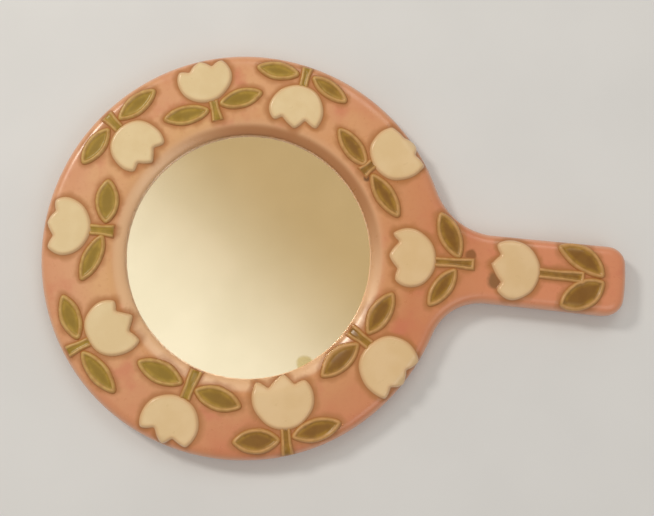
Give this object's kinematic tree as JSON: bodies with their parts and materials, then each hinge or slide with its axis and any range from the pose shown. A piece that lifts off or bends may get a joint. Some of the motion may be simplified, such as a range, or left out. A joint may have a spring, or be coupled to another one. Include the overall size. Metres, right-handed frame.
{
  "type": "hand mirror",
  "caption": "Round glazed ceramic hand mirror with a short straight handle, a recessed round glass and raised tulips around the rim.",
  "frame": {"origin": "on the flat back face, under the centre of the round head", "axes": "+X from the head's centre along the handle, +Y across the head, +Z out of the mirror's face"},
  "size_m": [0.237, 0.165, 0.0125],
  "materials": {
    "pink_glaze": "glossy",
    "cream_glaze": "glossy",
    "green_glaze": "glossy",
    "glass": "polished",
    "silvering": "mirror",
    "backing_paint": "matte",
    "adhesive": "satin"
  },
  "bodies": {
    "root": {"ceramic_body": "pink_glaze", "mirror_glass": "glass", "silver_coating": "silvering", "backing_paint": "backing_paint", "adhesive_bed": "adhesive", "tulip_01_flower": "cream_glaze", "tulip_01_stem": "green_glaze", "tulip_01_left_leaf": "green_glaze", "tulip_01_right_leaf": "green_glaze", "tulip_02_flower": "cream_glaze", "tulip_02_stem": "green_glaze", "tulip_02_left_leaf": "green_glaze", "tulip_02_right_leaf": "green_glaze", "tulip_03_flower": "cream_glaze", "tulip_03_stem": "green_glaze", "tulip_03_left_leaf": "green_glaze", "tulip_03_right_leaf": "green_glaze", "tulip_04_flower": "cream_glaze", "tulip_04_stem": "green_glaze", "tulip_04_left_leaf": "green_glaze", "tulip_04_right_leaf": "green_glaze", "tulip_05_flower": "cream_glaze", "tulip_05_stem": "green_glaze", "tulip_05_left_leaf": "green_glaze", "tulip_05_right_leaf": "green_glaze", "tulip_06_flower": "cream_glaze", "tulip_06_stem": "green_glaze", "tulip_06_left_leaf": "green_glaze", "tulip_06_right_leaf": "green_glaze", "tulip_07_flower": "cream_glaze", "tulip_07_stem": "green_glaze", "tulip_07_left_leaf": "green_glaze", "tulip_07_right_leaf": "green_glaze", "tulip_08_flower": "cream_glaze", "tulip_08_stem": "green_glaze", "tulip_08_left_leaf": "green_glaze", "tulip_08_right_leaf": "green_glaze", "tulip_09_flower": "cream_glaze", "tulip_09_stem": "green_glaze", "tulip_09_left_leaf": "green_glaze", "tulip_09_right_leaf": "green_glaze", "tulip_10_flower": "cream_glaze", "tulip_10_stem": "green_glaze", "tulip_10_left_leaf": "green_glaze", "tulip_10_right_leaf": "green_glaze", "tulip_11_flower": "cream_glaze", "tulip_11_stem": "green_glaze", "tulip_11_left_leaf": "green_glaze", "tulip_11_right_leaf": "green_glaze"}
  },
  "joints": []
}
